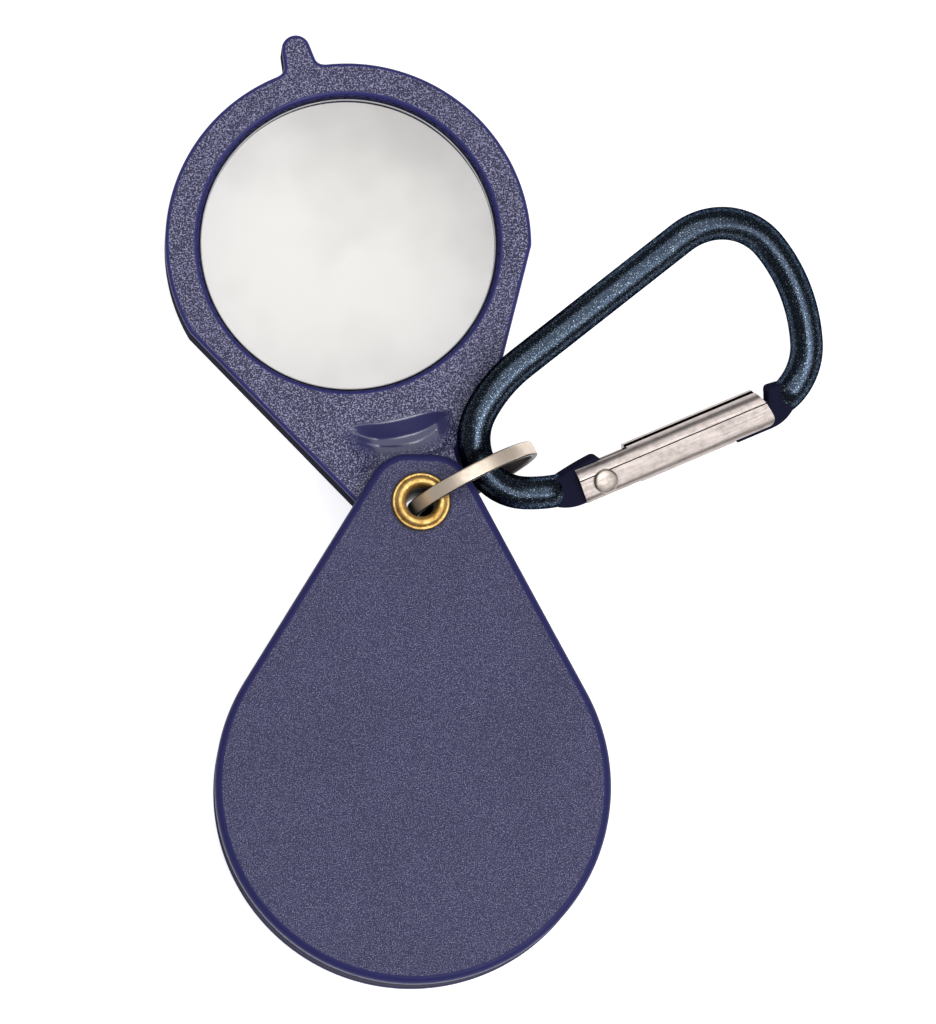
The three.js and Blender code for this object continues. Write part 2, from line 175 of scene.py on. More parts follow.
class Shell:
    """A mesh made of loops of points that are joined by strips and filled faces."""

    def __init__(self):
        self.mesh = bmesh.new()

    def loop(self, points):
        return [self.mesh.verts.new(point) for point in points]

    def bridge(self, first, second, look=0):
        made = []
        count = max(len(first), len(second))
        for i in range(count):
            j = (i + 1) % count
            if len(first) == 1:
                corners = (first[0], second[j], second[i])
            elif len(second) == 1:
                corners = (first[i], first[j], second[0])
            else:
                corners = (first[i], first[j], second[j], second[i])
            made.append(self.mesh.faces.new(corners))
            made[-1].material_index = look
        return made

    def strips(self, loops, look=0):
        for first, second in zip(loops, loops[1:]):
            self.bridge(first, second, look)

    def fill(self, loops, look=0):
        edges = []
        for loop in loops:
            for a, b in zip(loop, loop[1:] + loop[:1]):
                edges.append(self.mesh.edges.get((a, b)) or self.mesh.edges.new((a, b)))
        made = bmesh.ops.triangle_fill(self.mesh, use_beauty=True, edges=edges)["geom"]
        for item in made:
            if isinstance(item, bmesh.types.BMFace):
                item.material_index = look

    def finish(self, name, matrix, looks, crease=35):
        bmesh.ops.recalc_face_normals(self.mesh, faces=self.mesh.faces)
        data = bpy.data.meshes.new(name)
        self.mesh.to_mesh(data)
        self.mesh.free()
        data.transform(matrix)
        for look in looks:
            data.materials.append(look)
        data.shade_smooth()
        data.set_sharp_from_angle(angle=rad(crease))
        thing = bpy.data.objects.new(name, data)
        bpy.context.scene.collection.objects.link(thing)
        return thing


def arc(centre, radius, start, end, count):
    """Points on a circle from one angle to another, both included, in degrees."""
    angles = [rad(start + (end - start) * i / count) for i in range(count + 1)]
    return [(centre[0] + radius * math.cos(a), centre[1] + radius * math.sin(a)) for a in angles]


def circle(radius, count, centre=(0, 0)):
    return arc(centre, radius, 0, 360, count)[:-1]


def at_height(points, z):
    return [(x, y, z) for x, y in points]


def curve(start, control, end, count=6):
    """Quadratic curve without its first point."""
    points = []
    for i in range(1, count + 1):
        t = i / count
        points.append(
            tuple(
                (1 - t) ** 2 * a + 2 * t * (1 - t) * b + t * t * c
                for a, b, c in zip(start, control, end)
            )
        )
    return points


def inset(points, distance):
    """A counter-clockwise outline moved inwards."""
    moved = []
    count = len(points)
    for i in range(count):
        before = Vector(points[i]) - Vector(points[i - 1])
        after = Vector(points[(i + 1) % count]) - Vector(points[i])
        normal_before = Vector((-before.y, before.x)).normalized()
        normal_after = Vector((-after.y, after.x)).normalized()
        bisector = (normal_before + normal_after).normalized()
        step = distance / max(0.3, bisector.dot(normal_before))
        moved.append(tuple(Vector(points[i]) + bisector * step))
    return moved


def edge_profile(radius, steps=6):
    """[inset, drop] of a rounded edge, from the flat face to the side."""
    turns = [rad(90 * i / steps) for i in range(steps + 1)]
    return [(radius * (1 - math.sin(a)), radius * (1 - math.cos(a))) for a in turns]


def plate(shell, outline, bottom, top, lower_edge, upper_edge, looks, holes=(), margin=0.2):
    """A flat piece with rounded edges. looks are those of its bottom, its side and its top."""
    loops = [shell.loop(at_height(inset(outline, lower_edge + margin), bottom))]
    for shrink, rise in edge_profile(lower_edge):
        loops.append(shell.loop(at_height(inset(outline, shrink), bottom + rise)))
    for shrink, drop in reversed(edge_profile(upper_edge)):
        loops.append(shell.loop(at_height(inset(outline, shrink), top - drop)))
    loops.append(shell.loop(at_height(inset(outline, upper_edge + margin), top)))
    shell.bridge(loops[0], loops[1], looks[0])
    shell.strips(loops[1:-1], looks[1])
    shell.bridge(loops[-2], loops[-1], looks[2])
    lower, upper = [loops[0]], [loops[-1]]
    for hole in holes:
        lower.append(shell.loop(at_height(hole, bottom)))
        upper.append(shell.loop(at_height(hole, top)))
        shell.bridge(lower[-1], upper[-1], looks[1])
    shell.fill(lower, looks[0])
    shell.fill(upper, looks[2])


def lathe(shell, profile, count, centre=(0, 0), look=0, closed=False):
    """A turned piece about Z from [radius, height] points. A radius of 0 closes it."""
    loops = []
    for radius, z in profile:
        points = [centre] if radius == 0 else circle(radius, count, centre)
        loops.append(shell.loop(at_height(points, z)))
    shell.strips(loops, look)
    if closed:
        shell.bridge(loops[-1], loops[0], look)
    return loops


def boolean(target, cutter, operation="DIFFERENCE"):
    """Cuts the target with a cutter, or joins the two, and removes the cutter."""
    modifier = target.modifiers.new("cut", "BOOLEAN")
    modifier.operation = operation
    modifier.solver = "EXACT"
    modifier.object = cutter
    apply_modifiers(target)
    weld(target)
    bpy.data.objects.remove(cutter)


def apply_modifiers(thing):
    bpy.context.view_layer.update()
    graph = bpy.context.evaluated_depsgraph_get()
    data = bpy.data.meshes.new_from_object(
        thing.evaluated_get(graph), preserve_all_data_layers=True, depsgraph=graph
    )
    thing.modifiers.clear()
    thing.data = data


def weld(thing, apart=0.003):
    """Merges the points that a cut leaves on top of each other, and drops slivers of no area."""
    mesh = bmesh.new()
    mesh.from_mesh(thing.data)
    bmesh.ops.remove_doubles(mesh, verts=mesh.verts, dist=apart * MM)
    bmesh.ops.dissolve_degenerate(mesh, edges=mesh.edges, dist=apart * MM)
    mesh.to_mesh(thing.data)
    mesh.free()


# ---------- material helpers ----------


class Look:
    """A Principled material and its procedural nodes."""

    def __init__(self, name, **values):
        self.material = bpy.data.materials.new(name)
        self.material.use_nodes = True
        self.tree = self.material.node_tree
        self.shader = self.tree.nodes["Principled BSDF"]
        for socket, value in values.items():
            self.shader.inputs[socket.replace("_", " ")].default_value = value
        self.where = self.tree.nodes.new("ShaderNodeTexCoord").outputs["Object"]

    def node(self, kind, **inputs):
        made = self.tree.nodes.new("ShaderNode" + kind)
        for socket, value in inputs.items():
            self.feed(made.inputs[socket.replace("_", " ")], value)
        return made

    def feed(self, socket, value):
        if isinstance(value, bpy.types.NodeSocket):
            self.tree.links.new(value, socket)
        else:
            socket.default_value = value

    def noise(self, size, detail=2.0, roughness=0.5, where=None):
        """Noise whose features are about size millimetres across."""
        made = self.node("TexNoise", Scale=1 / (size * MM), Detail=detail, Roughness=roughness)
        self.tree.links.new(where or self.where, made.inputs["Vector"])
        return made.outputs["Fac"]

    def cells(self, size):
        """Distance from the middle of cells that are about size millimetres across."""
        made = self.node("TexVoronoi", Scale=1 / (size * MM), Vector=self.where)
        return made.outputs["Distance"]

    def spread(self, value, low, high, to_low=0.0, to_high=1.0):
        """Maps a range of a value to another range."""
        made = self.node("MapRange", Value=value)
        made.inputs["From Min"].default_value = low
        made.inputs["From Max"].default_value = high
        made.inputs["To Min"].default_value = to_low
        made.inputs["To Max"].default_value = to_high
        return made.outputs["Result"]

    def maths(self, operation, a, b):
        made = self.tree.nodes.new("ShaderNodeMath")
        made.operation = operation
        self.feed(made.inputs[0], a)
        self.feed(made.inputs[1], b)
        return made.outputs[0]

    def blend(self, amount, first, second):
        made = self.tree.nodes.new("ShaderNodeMix")
        made.data_type = "RGBA"
        self.feed(made.inputs[0], amount)
        self.feed(made.inputs[6], first)
        self.feed(made.inputs[7], second)
        return made.outputs[2]

    def bump(self, height, depth, after=None):
        """Normals of a relief whose depth is in millimetres, over those of another one."""
        made = self.node("Bump", Height=height, Strength=1.0, Distance=depth * MM)
        if after is not None:
            self.tree.links.new(after, made.inputs["Normal"])
        return made.outputs["Normal"]

    def use(self, **sockets):
        for socket, value in sockets.items():
            self.feed(self.shader.inputs[socket.replace("_", " ")], value)
        return self.material


# ---------- materials ----------

NAVY = (0.036, 0.036, 0.12, 1)
# colour of the painted glints on the grained plastic
GLINT_LILAC = (0.46, 0.45, 0.6, 1)


def grained_plastic(name, grain, sharp, sparkle, depth, roughness, lit, flange_shadow_at=None):
    """Spark-eroded navy plastic. Where the polish attribute is 1, it is smooth.

    grain is the size of its pits and depth their depth, in millimetres. lit is the painted light
    colour of the raised parts, and the last argument is the middle of the eyelet's flange, around
    whose edge a painted shadow darkens the face.
    """
    look = Look(name, IOR=1.49)
    polish = look.tree.nodes.new("ShaderNodeAttribute")
    polish.attribute_name = "polish"
    smooth = polish.outputs["Fac"]
    rough = look.maths("SUBTRACT", 1.0, smooth)
    fine = look.noise(grain, detail=1.0, roughness=0.6)
    broad = look.noise(11.0, detail=2.0)
    height = look.maths("MULTIPLY", look.spread(fine, 0.5 - sharp, 0.5 + sharp), rough)
    patch = look.spread(broad, 0.3, 0.7, 0.8, 1.15)
    low = look.blend(smooth, (0.012, 0.012, 0.065, 1), NAVY)
    # painted light: the raised parts of the grain are painted in the lighter lit colour, its pits
    # darker
    base = look.blend(look.maths("MULTIPLY", height, patch), low, lit)
    # painted glints: lilac specks on the tops of the grain stand in for sparkling highlights
    painted_glint = look.maths("MULTIPLY", look.spread(fine, 0.55, 0.74, 0.0, sparkle), rough)
    colour = look.blend(painted_glint, base, GLINT_LILAC)
    # painted shadow: a near-black ring darkens the face just around the eyelet's flange
    if flange_shadow_at is not None:
        apart = distance_from(look, flange_shadow_at)
        colour = look.blend(look.spread(apart, 0.00345, 0.0039), (0.004, 0.004, 0.01, 1), colour)
    wave = look.bump(look.noise(2.2, detail=1.0), 0.01)
    return look.use(
        Base_Color=colour,
        Roughness=look.spread(smooth, 0.0, 1.0, roughness, 0.2),
        Normal=look.bump(height, depth, after=wave),
    )


def smooth_plastic(name, colour, roughness, gloss=0.5):
    """Polished plastic with faint flow marks."""
    look = Look(name, Base_Color=colour, IOR=1.49)
    look.shader.inputs["Specular IOR Level"].default_value = gloss
    wave = look.noise(2.2, detail=2.0)
    wear = look.noise(0.7, detail=3.0)
    return look.use(
        Roughness=look.spread(wear, 0.3, 0.7, roughness - 0.05, roughness + 0.08),
        Normal=look.bump(wave, 0.02),
    )


def position_along(look, direction, origin):
    """Distance in metres along a direction of the row frame, from an origin in the row frame."""
    apart = look.tree.nodes.new("ShaderNodeVectorMath")
    apart.operation = "SUBTRACT"
    look.tree.links.new(look.where, apart.inputs[0])
    apart.inputs[1].default_value = origin
    along = look.tree.nodes.new("ShaderNodeVectorMath")
    along.operation = "DOT_PRODUCT"
    look.tree.links.new(apart.outputs["Vector"], along.inputs[0])
    along.inputs[1].default_value = direction
    return along.outputs["Value"]


def distance_from(look, origin):
    """Distance in metres from a point of the row frame."""
    apart = look.tree.nodes.new("ShaderNodeVectorMath")
    apart.operation = "DISTANCE"
    look.tree.links.new(look.where, apart.inputs[0])
    apart.inputs[1].default_value = origin
    return apart.outputs["Value"]


def clear_lens():
    """Clear acrylic, tinted grey with faint random clouds, and painted shade that darkens it
    towards the tab.
    """
    look = Look("lens_clear", Roughness=0.03, IOR=1.49)
    look.shader.inputs["Transmission Weight"].default_value = 1.0
    look.shader.inputs["Specular Tint"].default_value = (0.03, 0.03, 0.03, 1)
    centre = leaf_frame @ Vector((*LENS_CENTRE, 0))
    radius = LENS_RADIUS * MM
    # painted shade: the tint darkens towards the tab
    upwards = position_along(look, (0.42, 0.9, 0), centre)
    shade = look.spread(upwards, -0.1 * radius, 1.1 * radius)
    cloud = look.spread(look.noise(8.0, detail=2.0, roughness=0.45), 0.3, 0.7, -0.25, 0.25)
    cloud_and_shade = look.maths("ADD", shade, cloud)
    colour = look.blend(cloud_and_shade, (0.775, 0.767, 0.745, 1), (0.612, 0.6, 0.58, 1))
    return look.use(Base_Color=colour, Normal=look.bump(look.noise(9.0, detail=1.0), 0.08))


def brass():
    """Stained and pitted brass, with painted shade that darkens it deep inside the tube."""
    look = Look("eyelet_brass", Metallic=1.0)
    stain = look.noise(1.1, detail=3.0, roughness=0.6)
    pits = look.spread(look.cells(0.55), 0.08, 0.16, 1.0, 0.0)
    clean = look.blend(look.spread(stain, 0.35, 0.7), (0.9, 0.62, 0.23, 1), (0.5, 0.29, 0.08, 1))
    # painted shade: more than about a millimetre below the case's face the brass is painted
    # near-black, as deep in the tube
    height = position_along(look, (0, 0, 1), (0, 0, CASE_THICKNESS * MM))
    outside = look.spread(height, -0.0012, 0.0002)
    shade_in_tube = look.blend(outside, (0.03, 0.02, 0.012, 1), clean)
    colour = look.blend(pits, shade_in_tube, (0.1, 0.06, 0.03, 1))
    dents = look.bump(look.noise(0.45, detail=2.0), 0.02)
    return look.use(
        Base_Color=colour, Roughness=look.spread(stain, 0.3, 0.7, 0.34, 0.55), Normal=dents
    )


def nickel(name, bright, dull):
    """Worn nickel plating, with painted shade where it passes through the eyelet."""
    look = Look(name, Metallic=0.55)
    wear = look.noise(0.8, detail=3.0)
    clean = look.blend(wear, bright, dull)
    # painted shade: near-black where the ring runs inside the eyelet
    near = distance_from(look, (0, pivot_y * MM, mid_z * MM))
    shade_in_eyelet = look.spread(near, 0.0018, 0.0032)
    colour = look.blend(shade_in_eyelet, (0.03, 0.025, 0.02, 1), clean)
    scratches = look.noise(0.25, detail=2.0)
    return look.use(
        Base_Color=colour,
        Roughness=look.spread(wear, 0.3, 0.7, 0.28, 0.4),
        Normal=look.bump(scratches, 0.008),
    )


def anodised():
    """Dark blue-black anodising with fine glinting grit."""
    look = Look("carabiner_anodised", Metallic=1.0)
    look.shader.inputs["Specular Tint"].default_value = (0.12, 0.14, 0.18, 1)
    grit = look.noise(0.14, detail=2.0, roughness=0.6)
    tint = look.noise(3.0, detail=2.0)
    dark = look.blend(tint, (0.024, 0.032, 0.048, 1), (0.036, 0.052, 0.08, 1))
    colour = look.blend(look.spread(grit, 0.6, 0.72), dark, (0.5, 0.62, 0.72, 1))
    return look.use(
        Base_Color=colour,
        Roughness=look.spread(grit, 0.3, 0.7, 0.16, 0.32),
        Normal=look.bump(grit, 0.016),
    )


def satin_aluminium(name, colour, shade):
    """Worn sheet metal whose fine streaks run along the gate."""
    look = Look(name, Metallic=1.0)
    turn = look.tree.nodes.new("ShaderNodeVectorRotate")
    turn.rotation_type = "EULER_XYZ"
    turn.invert = True
    turn.inputs["Rotation"].default_value = gate_frame.to_euler()
    look.tree.links.new(look.where, turn.inputs["Vector"])
    along = look.node("Mapping", Vector=turn.outputs["Vector"], Scale=(0.06, 1, 1))
    streaks = look.noise(0.16, detail=3.0, where=along.outputs["Vector"])
    dirt = look.noise(0.9, detail=4.0, roughness=0.65)
    pits = look.spread(look.cells(0.8), 0.05, 0.1, 0.6, 0.0)
    worn = look.blend(look.spread(dirt, 0.45, 0.75, 0.0, 0.6), colour, shade)
    base = look.blend(pits, worn, (0.2, 0.17, 0.16, 1))
    return look.use(
        Base_Color=base,
        Roughness=look.spread(streaks, 0.3, 0.7, 0.3, 0.5),
        Normal=look.bump(streaks, 0.008),
    )


CASE_GRAIN = grained_plastic(
    "case_grain",
    grain=0.13,
    sharp=0.05,
    sparkle=0.45,
    depth=0.03,
    roughness=0.5,
    lit=(0.08, 0.079, 0.2, 1),
    flange_shadow_at=(0, pivot_y * MM, CASE_THICKNESS * MM),
)
LEAF_GRAIN = grained_plastic(
    "leaf_grain",
    grain=0.18,
    sharp=0.05,
    sparkle=0.9,
    depth=0.08,
    roughness=0.45,
    lit=(0.195, 0.192, 0.37, 1),
)
CASE_SMOOTH = smooth_plastic("case_smooth", (0.027, 0.027, 0.115, 1), 0.36, 0.1)
LEAF_SMOOTH = smooth_plastic("leaf_smooth", (0.032, 0.032, 0.16, 1), 0.28, 0.22)
# painted shade: the leaf's flank is a dark grey, unglossy copy of its navy plastic
LEAF_FLANK_SHADED = smooth_plastic("leaf_flank_shaded", (0.03, 0.03, 0.045, 1), 0.5, 0.0)
CASE_INSIDE = smooth_plastic("case_inside", (0.1, 0.097, 0.15, 1), 0.4, 0.3)
RETAINER_PLASTIC = smooth_plastic("retainer_smooth", (0.01, 0.01, 0.03, 1), 0.4, 0.12)
# painted highlight: the retainer's inner top edge is painted light grey as a bright line round the
# lens
RETAINER_LIP_HIGHLIGHT = smooth_plastic("retainer_lip_highlight", (0.62, 0.62, 0.64, 1), 0.3)
LENS_CLEAR = clear_lens()
BRASS = brass()
NICKEL = nickel("ring_nickel", (0.85, 0.72, 0.6, 1), (0.7, 0.59, 0.48, 1))
# painted shade: a dark copy of the nickel for the ring's inner face and flat sides
NICKEL_SHADED = nickel("ring_nickel_shaded", (0.06, 0.05, 0.045, 1), (0.04, 0.035, 0.03, 1))
ANODISED = anodised()
ANODISED_FLAT = smooth_plastic("carabiner_pressed", (0.014, 0.014, 0.034, 1), 0.3, 0.0)
GATE_METAL = satin_aluminium("gate_aluminium", (0.46, 0.405, 0.385, 1), (0.22, 0.19, 0.17, 1))
# painted shade: a near-black copy of the gate's metal for the inside of the channel and the scored
# groove
GATE_SHADED = satin_aluminium("gate_shaded", (0.012, 0.011, 0.01, 1), (0.006, 0.005, 0.005, 1))
RIVET_METAL = satin_aluminium("rivet_aluminium", (0.5, 0.44, 0.4, 1), (0.12, 0.1, 0.09, 1))
SPRING_STEEL = satin_aluminium("spring_steel", (0.35, 0.35, 0.37, 1), (0.2, 0.2, 0.22, 1))

# ---------- case ----------

# the straight sides are this far from the axis, in degrees
CASE_SLOPE = math.degrees(math.asin((CASE_RADIUS - CASE_SIDE) / pivot_y))


def case_outline():
    """The teardrop: a round end, two straight sides and a flat crown with round corners."""
    slope, corner = rad(CASE_SLOPE), CASE_CROWN_CORNER
    corner_y = CASE_CROWN - corner
    corner_x = (CASE_SIDE - corner - corner_y * math.sin(slope)) / math.cos(slope)
    crown_y = pivot_y + corner_y
    return (
        arc((0, 0), CASE_RADIUS, 180 - CASE_SLOPE, 360 + CASE_SLOPE, 144)
        + arc((corner_x, crown_y), corner, CASE_SLOPE, 90, 14)
        + arc((-corner_x, crown_y), corner, 90, 180 - CASE_SLOPE, 14)
    )


def wall_outline():
    """The wall's strip: the case's right edge, from its round end up to below the eyelet."""
    top = pivot_y - WALL_TOP_BELOW_PIVOT
    slope = Vector((-math.sin(rad(CASE_SLOPE)), math.cos(rad(CASE_SLOPE))))

    def edge(radius):
        points = arc((0, 0), radius, WALL_END, CASE_SLOPE, 30)
        start = Vector(points[-1])
        points.append(tuple(start + slope * ((top - start.y) / slope.y)))
        return points

    return edge(CASE_RADIUS) + edge(CASE_RADIUS - WALL)[::-1]


def make_front_cover():
    shell = Shell()
    hole = circle(PIVOT_HOLE, 48, (0, pivot_y))
    underside = CASE_THICKNESS - COVER
    edges = (COVER_INNER_EDGE, COVER_EDGE)
    plate(shell, case_outline(), underside, CASE_THICKNESS, *edges, (2, 1, 0), [hole])
    return shell.finish("case_front_cover", row_frame, [CASE_GRAIN, CASE_SMOOTH, CASE_INSIDE])


def make_rear_cover():
    shell = Shell()
    hole = circle(PIVOT_HOLE, 48, (0, pivot_y))
    plate(shell, case_outline(), 0, COVER, COVER_EDGE, COVER_INNER_EDGE, (0, 1, 2), [hole])
    wall_root = COVER - WALL_SUNK
    wall_top = CASE_THICKNESS - COVER - LID_SEAM
    plate(shell, wall_outline(), wall_root, wall_top, 0.02, 0.06, (1, 1, 1), margin=0.02)
    return shell.finish("case_rear_cover", row_frame, [CASE_GRAIN, CASE_SMOOTH, CASE_INSIDE])


# ---------- lens leaf ----------


def leaf_outline():
    """The leaf in its own frame: eyelet axis at the origin, lens on +Y."""
    boss = LEAF_SIDE_CHORD - LENS_DISTANCE * math.sin(rad(LEAF_SIDE))
    tab_angle = math.degrees(math.acos(TAB_ROOT / LEAF_RADIUS))
    tab_side = tab_angle - TAB_FILLET
    right = arc(LENS_CENTRE, LEAF_RADIUS, LEAF_SIDE_CORNER, tab_side, 50)
    left = arc(LENS_CENTRE, LEAF_RADIUS, 180 - tab_side, 180 - LEAF_SIDE_CORNER, 50)
    tip = arc((0, TAB_TIP - TAB_RADIUS), TAB_RADIUS, 8, 172, 16)
    root_y = LENS_DISTANCE + LEAF_RADIUS * math.sin(rad(tab_angle)) + 0.1
    root, up = (TAB_ROOT, root_y), (TAB_NECK, root_y + 0.8)
    left_root, left_up = (-root[0], root[1]), (-up[0], up[1])
    points = arc((0, 0), boss, 180 + LEAF_SIDE, 360 - LEAF_SIDE, 24)
    points += right + curve(right[-1], root, up, 5)
    points += tip + [left_up] + curve(left_up, left_root, left[0], 5)[:-1]
    return points + left


SCOOP_DEPTH = 1.45
SCOOP_LEFT = -7.3
SCOOP_RIGHT = 7.4
SCOOP_END = 5.45
SCOOP_STEP = 0.14
SCOOP_WINDOW = (-7.4, 7.8, 5.4, 12.4)
SCOOP_GRID = 0.11


def smooth_step(low, high, value):
    t = min(1.0, max(0.0, (value - low) / (high - low)))
    return t * t * (3 - 2 * t)


def scoop_edges(x):
    """Lower edge, foot and upper edge of the thumb scoop at x, in the leaf's frame."""
    foot = 8.2 + 0.05 * min(0.0, x - 0.8) ** 2 + 0.15 * max(0.0, x - 1.5) ** 1.55
    upper = 11.0 + 0.02 * min(0.0, x) ** 2 - 0.03 * max(0.0, x - 1.0) ** 2
    return foot - 0.55, foot, upper


def rounded_ramp(t, rounding=0.24):
    """0 to 1 in a straight line whose two ends are rounded."""
    if t > 0.5:
        return 1 - rounded_ramp(1 - t, rounding)
    if t < rounding:
        return max(0.0, t) ** 2 / (2 * rounding * (1 - rounding))
    return (t - rounding / 2) / (1 - rounding)


def scoop_depth(x, y):
    """How far the neck's face is scooped out at a point of the leaf's frame."""
    lower, foot, upper = scoop_edges(x)
    ends = smooth_step(SCOOP_LEFT, -2.6, x) * (1 - smooth_step(4.2, SCOOP_RIGHT, x))
    if upper <= foot or not SCOOP_END < y < upper:
        return 0.0
    if y > foot:
        depth = (SCOOP_DEPTH - SCOOP_STEP) * (1 - rounded_ramp((y - foot) / (upper - foot)))
    else:
        depth = SCOOP_DEPTH - SCOOP_STEP * smooth_step(lower - 0.25, lower + 0.25, y)
    return ends * depth * smooth_step(SCOOP_END, SCOOP_END + 0.7, y)


def scoop_polish(x, y):
    """1 on the scoop's polished face, fading to 0 on the grained face around it."""
    lower, _, upper = scoop_edges(x)
    along = smooth_step(-7.2, -4.6, x) * (1 - smooth_step(5.4, 7.2, x))
    above = 1 - smooth_step(upper - 0.25, upper + 0.1, y)
    return along * above * smooth_step(lower - 2.2, lower - 0.2, y)


def add_leaf_edge(shell):
    """The leaf's outer edge: its two rounded corners and its flank. Returns its two face loops."""
    outline = leaf_outline()
    rounds = edge_profile(LEAF_EDGE)
    flat = LEAF_EDGE + COLLAR
    loops = [shell.loop(at_height(inset(outline, flat), LEAF_BOTTOM))]
    for shrink, rise in rounds:
        loops.append(shell.loop(at_height(inset(outline, shrink), LEAF_BOTTOM + rise)))
    for shrink, drop in reversed(rounds):
        loops.append(shell.loop(at_height(inset(outline, shrink), LEAF_TOP - drop)))
    loops.append(shell.loop(at_height(inset(outline, flat), LEAF_TOP)))
    flank = len(rounds)
    shell.bridge(loops[0], loops[1])
    shell.strips(loops[1 : flank + 1], 1)
    # the flank takes the painted-shade material
    shell.bridge(loops[flank], loops[flank + 1], 2)
    shell.strips(loops[flank + 1 : -1], 1)
    shell.bridge(loops[-2], loops[-1])
    return loops[0], loops[-1]


def add_bore(shell):
    """The lens opening with its rounded rims and its seat. Returns its two face loops."""
    rounds = edge_profile(BORE_RIM)
    up = [(BORE + shrink, LEAF_TOP - drop) for shrink, drop in rounds]
    down = [(BORE + shrink, LEAF_BOTTOM + drop) for shrink, drop in reversed(rounds)]
    seat = [(BORE, SEAT_TOP), (SEAT, SEAT_TOP), (SEAT, SEAT_BOTTOM), (BORE, SEAT_BOTTOM)]
    bore = lathe(shell, up + seat + down, LENS_STEPS, LENS_CENTRE, 1)
    collar = circle(BORE + BORE_RIM + COLLAR, LENS_STEPS, LENS_CENTRE)
    collar_top = shell.loop(at_height(collar, LEAF_TOP))
    collar_low = shell.loop(at_height(collar, LEAF_BOTTOM))
    shell.bridge(collar_top, bore[0])
    shell.bridge(bore[-1], collar_low)
    return collar_low, collar_top


def add_scoop(shell, polish):
    """The neck's face around the scoop, as a grid. Returns the loop around it."""
    left, right, low, high = SCOOP_WINDOW
    columns = round((right - left) / SCOOP_GRID)
    rows = round((high - low) / SCOOP_GRID)
    grid = []
    for j in range(rows + 1):
        y = low + (high - low) * j / rows
        row = []
        for i in range(columns + 1):
            x = left + (right - left) * i / columns
            point = shell.mesh.verts.new((x, y, LEAF_TOP - scoop_depth(x, y)))
            point[polish] = scoop_polish(x, y)
            row.append(point)
        grid.append(row)
    for lower, upper in zip(grid, grid[1:]):
        for i in range(columns):
            shell.mesh.faces.new((lower[i], lower[i + 1], upper[i + 1], upper[i]))
    right_side = [row[-1] for row in grid[:-1]]
    left_side = [row[0] for row in grid[:0:-1]]
    return grid[0][:-1] + right_side + grid[-1][:0:-1] + left_side


def make_lens_frame():
    shell = Shell()
    polish = shell.mesh.verts.layers.float.new("polish")
    edge_low, edge_top = add_leaf_edge(shell)
    collar_low, collar_top = add_bore(shell)
    pivot = lathe(shell, [(PIVOT_HOLE, LEAF_TOP), (PIVOT_HOLE, LEAF_BOTTOM)], 48, look=1)
    window = add_scoop(shell, polish)
    shell.fill([edge_top, collar_top, pivot[0], window])
    shell.fill([edge_low, collar_low, pivot[-1]])
    return shell.finish("lens_leaf_frame", leaf_frame, [LEAF_GRAIN, LEAF_SMOOTH, LEAF_FLANK_SHADED])


def make_lens():
    shell = Shell()

    def sag(radius):
        return LENS_SURFACE - math.sqrt(LENS_SURFACE**2 - radius**2)

    rise = sag(LENS_RADIUS)
    rings = 24
    radii = [LENS_RADIUS * i / rings for i in range(rings + 1)]
    lower = [(r, LENS_EDGE_BOTTOM - rise + sag(r)) for r in radii]
    upper = [(r, LENS_EDGE_BOTTOM + LENS_EDGE + rise - sag(r)) for r in reversed(radii)]
    lathe(shell, lower + upper, LENS_STEPS, LENS_CENTRE)
    return shell.finish("clear_lens", leaf_frame, [LENS_CLEAR])


def make_retainer():
    shell = Shell()
    edge = 0.12
    profile = [
        (RETAINER_INNER, RETAINER_BOTTOM),
        (RETAINER_OUTER, RETAINER_BOTTOM),
        (RETAINER_OUTER, RETAINER_TOP),
        (RETAINER_INNER + edge, RETAINER_TOP),
        (RETAINER_INNER, RETAINER_TOP - edge),
    ]
    loops = lathe(shell, profile, LENS_STEPS, LENS_CENTRE, closed=True)
    # painted highlight: the lip's chamfer takes the light grey material
    lip = set(loops[3]) | set(loops[4])
    for face in shell.mesh.faces:
        if all(point in lip for point in face.verts):
            face.material_index = 1
    return shell.finish("lens_retainer", leaf_frame, [RETAINER_PLASTIC, RETAINER_LIP_HIGHLIGHT])


# ---------- eyelet ----------


def make_eyelet():
    shell = Shell()
    top = CASE_THICKNESS
    back = -0.5
    profile = (
        [(1.75, 4.0), (1.75, top - 0.7)]
        + curve((1.75, top - 0.7), (1.78, top + 0.2), (2.1, top + 0.62), 8)
        + curve((2.1, top + 0.62), (2.28, top + 0.82), (2.55, top + 0.8), 6)
        + curve((2.55, top + 0.8), (2.9, top + 0.78), (3.06, top + 0.48), 8)
        + curve((3.06, top + 0.48), (3.14, top + 0.3), (3.22, top + 0.33), 4)
        + curve((3.22, top + 0.33), (3.36, top + 0.4), (3.45, top + 0.26), 5)
        + [(3.47, top + 0.14), (3.44, top + 0.05), (2.15, top + 0.05), (2.15, back), (3.28, back)]
        + curve((3.28, back), (3.34, back - 0.3), (2.9, back - 0.5), 6)
        + curve((2.9, back - 0.5), (1.8, back - 0.4), (1.75, back + 1.3), 8)
    )
    lathe(shell, profile, 96, closed=True)
    return shell.finish("eyelet_tube", eyelet_frame, [BRASS], crease=50)


def make_washer():
    shell = Shell()
    edge = 0.1
    bottom, top = -0.45, -0.05
    profile = [
        (2.45, bottom + edge),
        (2.45 + edge, bottom),
        (4.2 - edge, bottom),
        (4.2, bottom + edge),
        (4.2, top),
        (2.45, top),
    ]
    lathe(shell, profile, 96, closed=True)
    return shell.finish("eyelet_rear_washer", eyelet_frame, [BRASS])


# ---------- split ring ----------


